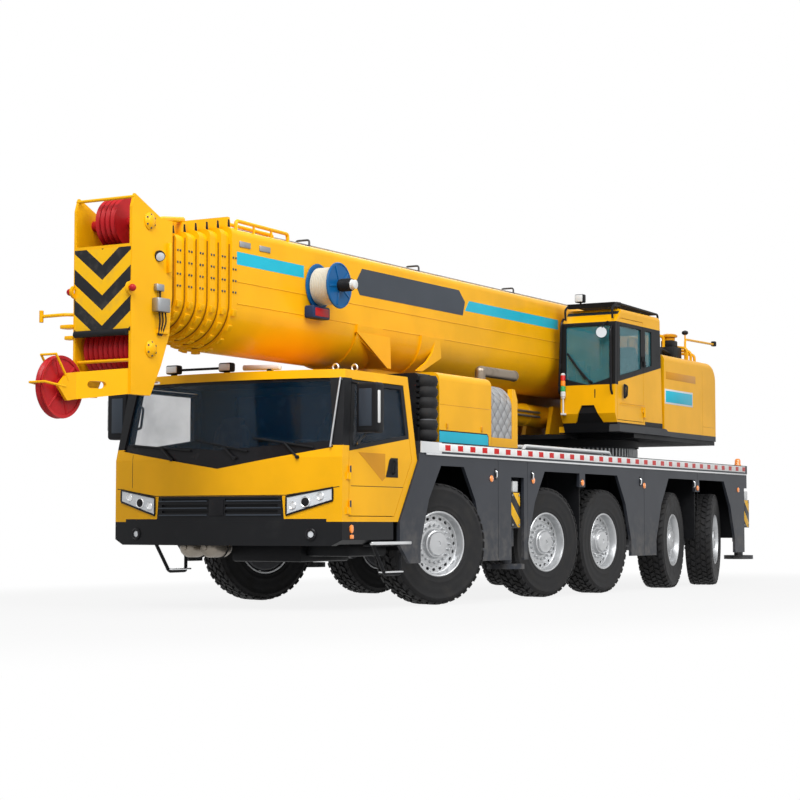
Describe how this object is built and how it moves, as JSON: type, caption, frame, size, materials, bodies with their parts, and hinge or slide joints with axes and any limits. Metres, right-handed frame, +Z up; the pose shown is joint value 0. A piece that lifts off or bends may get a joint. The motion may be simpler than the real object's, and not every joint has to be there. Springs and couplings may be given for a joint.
{
  "type": "mobile crane",
  "caption": "All-terrain mobile crane with a driving cab, a slewing upper works with operator's cab, and a telescopic boom carried level in travel position.",
  "frame": {"origin": "on the ground below the middle of the machine's box", "axes": "+X forward along the boom, +Y to the machine's left, +Z up"},
  "size_m": [15.285, 3.48, 4.1299],
  "materials": {
    "paint": "gloss yellow-orange coach paint",
    "frame_paint": "satin dark grey paint",
    "steel": "bare and zinc-plated steel",
    "trim": "black moulded trim",
    "glass": "tinted safety glass",
    "lamp": "clear lamp lens",
    "seat": "dark seat cloth",
    "sheave": "red enamel",
    "cylinder": "gloss paint on barrel",
    "chrome": "hard chrome rod",
    "tyre": "black rubber tyre on a silver rim",
    "iron": "painted castings"
  },
  "bodies": {
    "chassis": {"chassis_frame": "frame_paint", "axles": "iron", "side_skirts": "frame_paint", "driving_cab": "paint", "cab_glass": "glass", "cab_interior": "seat", "bumper": "trim", "lamps": "lamp", "engine_hood": "paint", "engine_block": "iron"},
    "superstructure": {"turntable_frame": "paint", "operator_cab": "paint", "operator_glass": "glass", "operator_seat": "seat", "tail_housing": "paint", "winch": "steel"},
    "operator_door": {"operator_door": "paint", "operator_door_glass": "glass"},
    "boom_base": {"boom_base": "paint"},
    "luff_barrel": {"luff_barrel": "cylinder"},
    "luff_rod": {"luff_rod": "chrome"},
    "boom_section_2": {"boom_section_2": "paint"},
    "boom_section_3": {"boom_section_3": "paint"},
    "boom_section_4": {"boom_section_4": "paint"},
    "boom_section_5": {"boom_section_5": "paint"},
    "boom_section_6": {"boom_section_6": "paint"},
    "boom_section_7": {"boom_section_7": "paint", "boom_sheaves": "sheave"},
    "cab_door_left": {"cab_door_left": "paint", "cab_door_glass_left": "glass"},
    "cab_door_right": {"cab_door_right": "paint", "cab_door_glass_right": "glass"},
    "outrigger_beam_front_left": {"outrigger_beam_front_left": "paint"},
    "outrigger_jack_front_left": {"outrigger_jack_front_left": "steel"},
    "outrigger_beam_front_right": {"outrigger_beam_front_right": "paint"},
    "outrigger_jack_front_right": {"outrigger_jack_front_right": "steel"},
    "outrigger_beam_rear_left": {"outrigger_beam_rear_left": "paint"},
    "outrigger_jack_rear_left": {"outrigger_jack_rear_left": "steel"},
    "outrigger_beam_rear_right": {"outrigger_beam_rear_right": "paint"},
    "outrigger_jack_rear_right": {"outrigger_jack_rear_right": "steel"},
    "knuckle_1_left": {"knuckle_1_left": "iron"},
    "wheel_1_left": {"wheel_1_left": "tyre"},
    "knuckle_1_right": {"knuckle_1_right": "iron"},
    "wheel_1_right": {"wheel_1_right": "tyre"},
    "knuckle_2_left": {"knuckle_2_left": "iron"},
    "wheel_2_left": {"wheel_2_left": "tyre"},
    "knuckle_2_right": {"knuckle_2_right": "iron"},
    "wheel_2_right": {"wheel_2_right": "tyre"},
    "knuckle_3_left": {"knuckle_3_left": "iron"},
    "wheel_3_left": {"wheel_3_left": "tyre"},
    "knuckle_3_right": {"knuckle_3_right": "iron"},
    "wheel_3_right": {"wheel_3_right": "tyre"},
    "knuckle_4_left": {"knuckle_4_left": "iron"},
    "wheel_4_left": {"wheel_4_left": "tyre"},
    "knuckle_4_right": {"knuckle_4_right": "iron"},
    "wheel_4_right": {"wheel_4_right": "tyre"},
    "knuckle_5_left": {"knuckle_5_left": "iron"},
    "wheel_5_left": {"wheel_5_left": "tyre"},
    "knuckle_5_right": {"knuckle_5_right": "iron"},
    "wheel_5_right": {"wheel_5_right": "tyre"}
  },
  "joints": [
    {"name": "slew", "type": "hinge", "parent": "chassis", "child": "superstructure", "pos_m": [-3.97, 0, 2], "axis": [0, 0, 1], "continuous": true},
    {"name": "luff", "type": "hinge", "parent": "superstructure", "child": "boom_base", "pos_m": [-5.67, 0, 3.35], "axis": [0, -1, 0], "range_deg": [0, 84]},
    {"name": "telescope_2", "type": "slide", "parent": "boom_base", "child": "boom_section_2", "axis": [1, 0, 0], "range_m": [0, 8.6]},
    {"name": "telescope_3", "type": "slide", "parent": "boom_section_2", "child": "boom_section_3", "axis": [1, 0, 0], "range_m": [0, 8.6]},
    {"name": "telescope_4", "type": "slide", "parent": "boom_section_3", "child": "boom_section_4", "axis": [1, 0, 0], "range_m": [0, 8.6]},
    {"name": "telescope_5", "type": "slide", "parent": "boom_section_4", "child": "boom_section_5", "axis": [1, 0, 0], "range_m": [0, 8.6]},
    {"name": "telescope_6", "type": "slide", "parent": "boom_section_5", "child": "boom_section_6", "axis": [1, 0, 0], "range_m": [0, 8.6]},
    {"name": "telescope_7", "type": "slide", "parent": "boom_section_6", "child": "boom_section_7", "axis": [1, 0, 0], "range_m": [0, 8.6]},
    {"name": "luff_barrel_swing", "type": "hinge", "parent": "superstructure", "child": "luff_barrel", "pos_m": [-3.12, 0, 2.42], "axis": [0, -1, 0], "range_deg": [0, 95.9]},
    {"name": "luff_rod_slide", "type": "slide", "parent": "luff_barrel", "child": "luff_rod", "axis": [0.9999, 0, 0.0106], "range_m": [0, 3.4006]},
    {"name": "cab_door_left_swing", "type": "hinge", "parent": "chassis", "child": "cab_door_left", "pos_m": [4.54, 1.4853, 1.6], "axis": [0, 0, -1], "range_deg": [0, 70]},
    {"name": "cab_door_right_swing", "type": "hinge", "parent": "chassis", "child": "cab_door_right", "pos_m": [4.54, -1.4853, 1.6], "axis": [0, 0, 1], "range_deg": [0, 70]},
    {"name": "operator_door_swing", "type": "hinge", "parent": "superstructure", "child": "operator_door", "pos_m": [-3.37, 1.4353, 2.89], "axis": [0, 0, 1], "range_deg": [0, 90]},
    {"name": "outrigger_beam_front_left_slide", "type": "slide", "parent": "chassis", "child": "outrigger_beam_front_left", "axis": [0, 1, 0], "range_m": [0, 2.2]},
    {"name": "outrigger_jack_front_left_slide", "type": "slide", "parent": "outrigger_beam_front_left", "child": "outrigger_jack_front_left", "axis": [0, 0, -1], "range_m": [0, 0.6]},
    {"name": "outrigger_beam_front_right_slide", "type": "slide", "parent": "chassis", "child": "outrigger_beam_front_right", "axis": [0, -1, 0], "range_m": [0, 2.2]},
    {"name": "outrigger_jack_front_right_slide", "type": "slide", "parent": "outrigger_beam_front_right", "child": "outrigger_jack_front_right", "axis": [0, 0, -1], "range_m": [0, 0.6]},
    {"name": "outrigger_beam_rear_left_slide", "type": "slide", "parent": "chassis", "child": "outrigger_beam_rear_left", "axis": [0, 1, 0], "range_m": [0, 2.2]},
    {"name": "outrigger_jack_rear_left_slide", "type": "slide", "parent": "outrigger_beam_rear_left", "child": "outrigger_jack_rear_left", "axis": [0, 0, -1], "range_m": [0, 0.6]},
    {"name": "outrigger_beam_rear_right_slide", "type": "slide", "parent": "chassis", "child": "outrigger_beam_rear_right", "axis": [0, -1, 0], "range_m": [0, 2.2]},
    {"name": "outrigger_jack_rear_right_slide", "type": "slide", "parent": "outrigger_beam_rear_right", "child": "outrigger_jack_rear_right", "axis": [0, 0, -1], "range_m": [0, 0.6]},
    {"name": "steer_1_left", "type": "hinge", "parent": "chassis", "child": "knuckle_1_left", "pos_m": [2.33, 1.04, 0.685], "axis": [0, 0, 1], "range_deg": [-13.2, 56.8]},
    {"name": "steer_1_right", "type": "hinge", "parent": "chassis", "child": "knuckle_1_right", "pos_m": [2.33, -1.04, 0.685], "axis": [0, 0, 1], "range_deg": [-13.2, 56.8]},
    {"name": "steer_2_left", "type": "hinge", "parent": "chassis", "child": "knuckle_2_left", "pos_m": [-0.33, 1.04, 0.685], "axis": [0, 0, 1], "range_deg": [-19, 41]},
    {"name": "steer_2_right", "type": "hinge", "parent": "chassis", "child": "knuckle_2_right", "pos_m": [-0.33, -1.04, 0.685], "axis": [0, 0, 1], "range_deg": [-19, 41]},
    {"name": "steer_3_left", "type": "hinge", "parent": "chassis", "child": "knuckle_3_left", "pos_m": [-2.01, 1.04, 0.685], "axis": [0, 0, 1], "range_deg": [-16.6, 23.4]},
    {"name": "steer_3_right", "type": "hinge", "parent": "chassis", "child": "knuckle_3_right", "pos_m": [-2.01, -1.04, 0.685], "axis": [0, 0, 1], "range_deg": [-16.6, 23.4]},
    {"name": "steer_4_left", "type": "hinge", "parent": "chassis", "child": "knuckle_4_left", "pos_m": [-4.36, 1.04, 0.685], "axis": [0, 0, 1], "range_deg": [-33.5, 16.5]},
    {"name": "steer_4_right", "type": "hinge", "parent": "chassis", "child": "knuckle_4_right", "pos_m": [-4.36, -1.04, 0.685], "axis": [0, 0, 1], "range_deg": [-33.5, 16.5]},
    {"name": "steer_5_left", "type": "hinge", "parent": "chassis", "child": "knuckle_5_left", "pos_m": [-6.02, 1.04, 0.685], "axis": [0, 0, 1], "range_deg": [-44, 16]},
    {"name": "steer_5_right", "type": "hinge", "parent": "chassis", "child": "knuckle_5_right", "pos_m": [-6.02, -1.04, 0.685], "axis": [0, 0, 1], "range_deg": [-44, 16]},
    {"name": "spin_1_left", "type": "hinge", "parent": "knuckle_1_left", "child": "wheel_1_left", "pos_m": [2.40427, 1.2257, 0.685], "axis": [0.3714, 0.9285, 0], "continuous": true},
    {"name": "spin_1_right", "type": "hinge", "parent": "knuckle_1_right", "child": "wheel_1_right", "pos_m": [2.25573, -1.2257, 0.685], "axis": [0.3714, 0.9285, 0], "continuous": true},
    {"name": "spin_2_left", "type": "hinge", "parent": "knuckle_2_left", "child": "wheel_2_left", "pos_m": [-0.29184, 1.23633, 0.685], "axis": [0.1908, 0.9816, 0], "continuous": true},
    {"name": "spin_2_right", "type": "hinge", "parent": "knuckle_2_right", "child": "wheel_2_right", "pos_m": [-0.36816, -1.23633, 0.685], "axis": [0.1908, 0.9816, 0], "continuous": true},
    {"name": "spin_3_left", "type": "hinge", "parent": "knuckle_3_left", "child": "wheel_3_left", "pos_m": [-1.99814, 1.23965, 0.685], "axis": [0.0593, 0.9982, 0], "continuous": true},
    {"name": "spin_3_right", "type": "hinge", "parent": "knuckle_3_right", "child": "wheel_3_right", "pos_m": [-2.02186, -1.23965, 0.685], "axis": [0.0593, 0.9982, 0], "continuous": true},
    {"name": "spin_4_left", "type": "hinge", "parent": "knuckle_4_left", "child": "wheel_4_left", "pos_m": [-4.38956, 1.2378, 0.685], "axis": [-0.1478, 0.989, 0], "continuous": true},
    {"name": "spin_4_right", "type": "hinge", "parent": "knuckle_4_right", "child": "wheel_4_right", "pos_m": [-4.33044, -1.2378, 0.685], "axis": [-0.1478, 0.989, 0], "continuous": true},
    {"name": "spin_5_left", "type": "hinge", "parent": "knuckle_5_left", "child": "wheel_5_left", "pos_m": [-6.06838, 1.23406, 0.685], "axis": [-0.2419, 0.9703, 0], "continuous": true},
    {"name": "spin_5_right", "type": "hinge", "parent": "knuckle_5_right", "child": "wheel_5_right", "pos_m": [-5.97162, -1.23406, 0.685], "axis": [-0.2419, 0.9703, 0], "continuous": true}
  ],
  "couplings": [
    {"joint": "telescope_3", "follows": "telescope_2", "ratio": 1},
    {"joint": "telescope_4", "follows": "telescope_2", "ratio": 1},
    {"joint": "telescope_5", "follows": "telescope_2", "ratio": 1},
    {"joint": "telescope_6", "follows": "telescope_2", "ratio": 1},
    {"joint": "telescope_7", "follows": "telescope_2", "ratio": 1},
    {"joint": "luff_barrel_swing", "follows": "luff", "ratio": 1.1416},
    {"joint": "luff_rod_slide", "follows": "luff", "m_per_rad": 2.3192},
    {"joint": "steer_1_right", "follows": "steer_1_left", "ratio": 1},
    {"joint": "steer_2_right", "follows": "steer_2_left", "ratio": 1},
    {"joint": "steer_3_right", "follows": "steer_3_left", "ratio": 1},
    {"joint": "steer_4_right", "follows": "steer_4_left", "ratio": 1},
    {"joint": "steer_5_right", "follows": "steer_5_left", "ratio": 1}
  ]
}
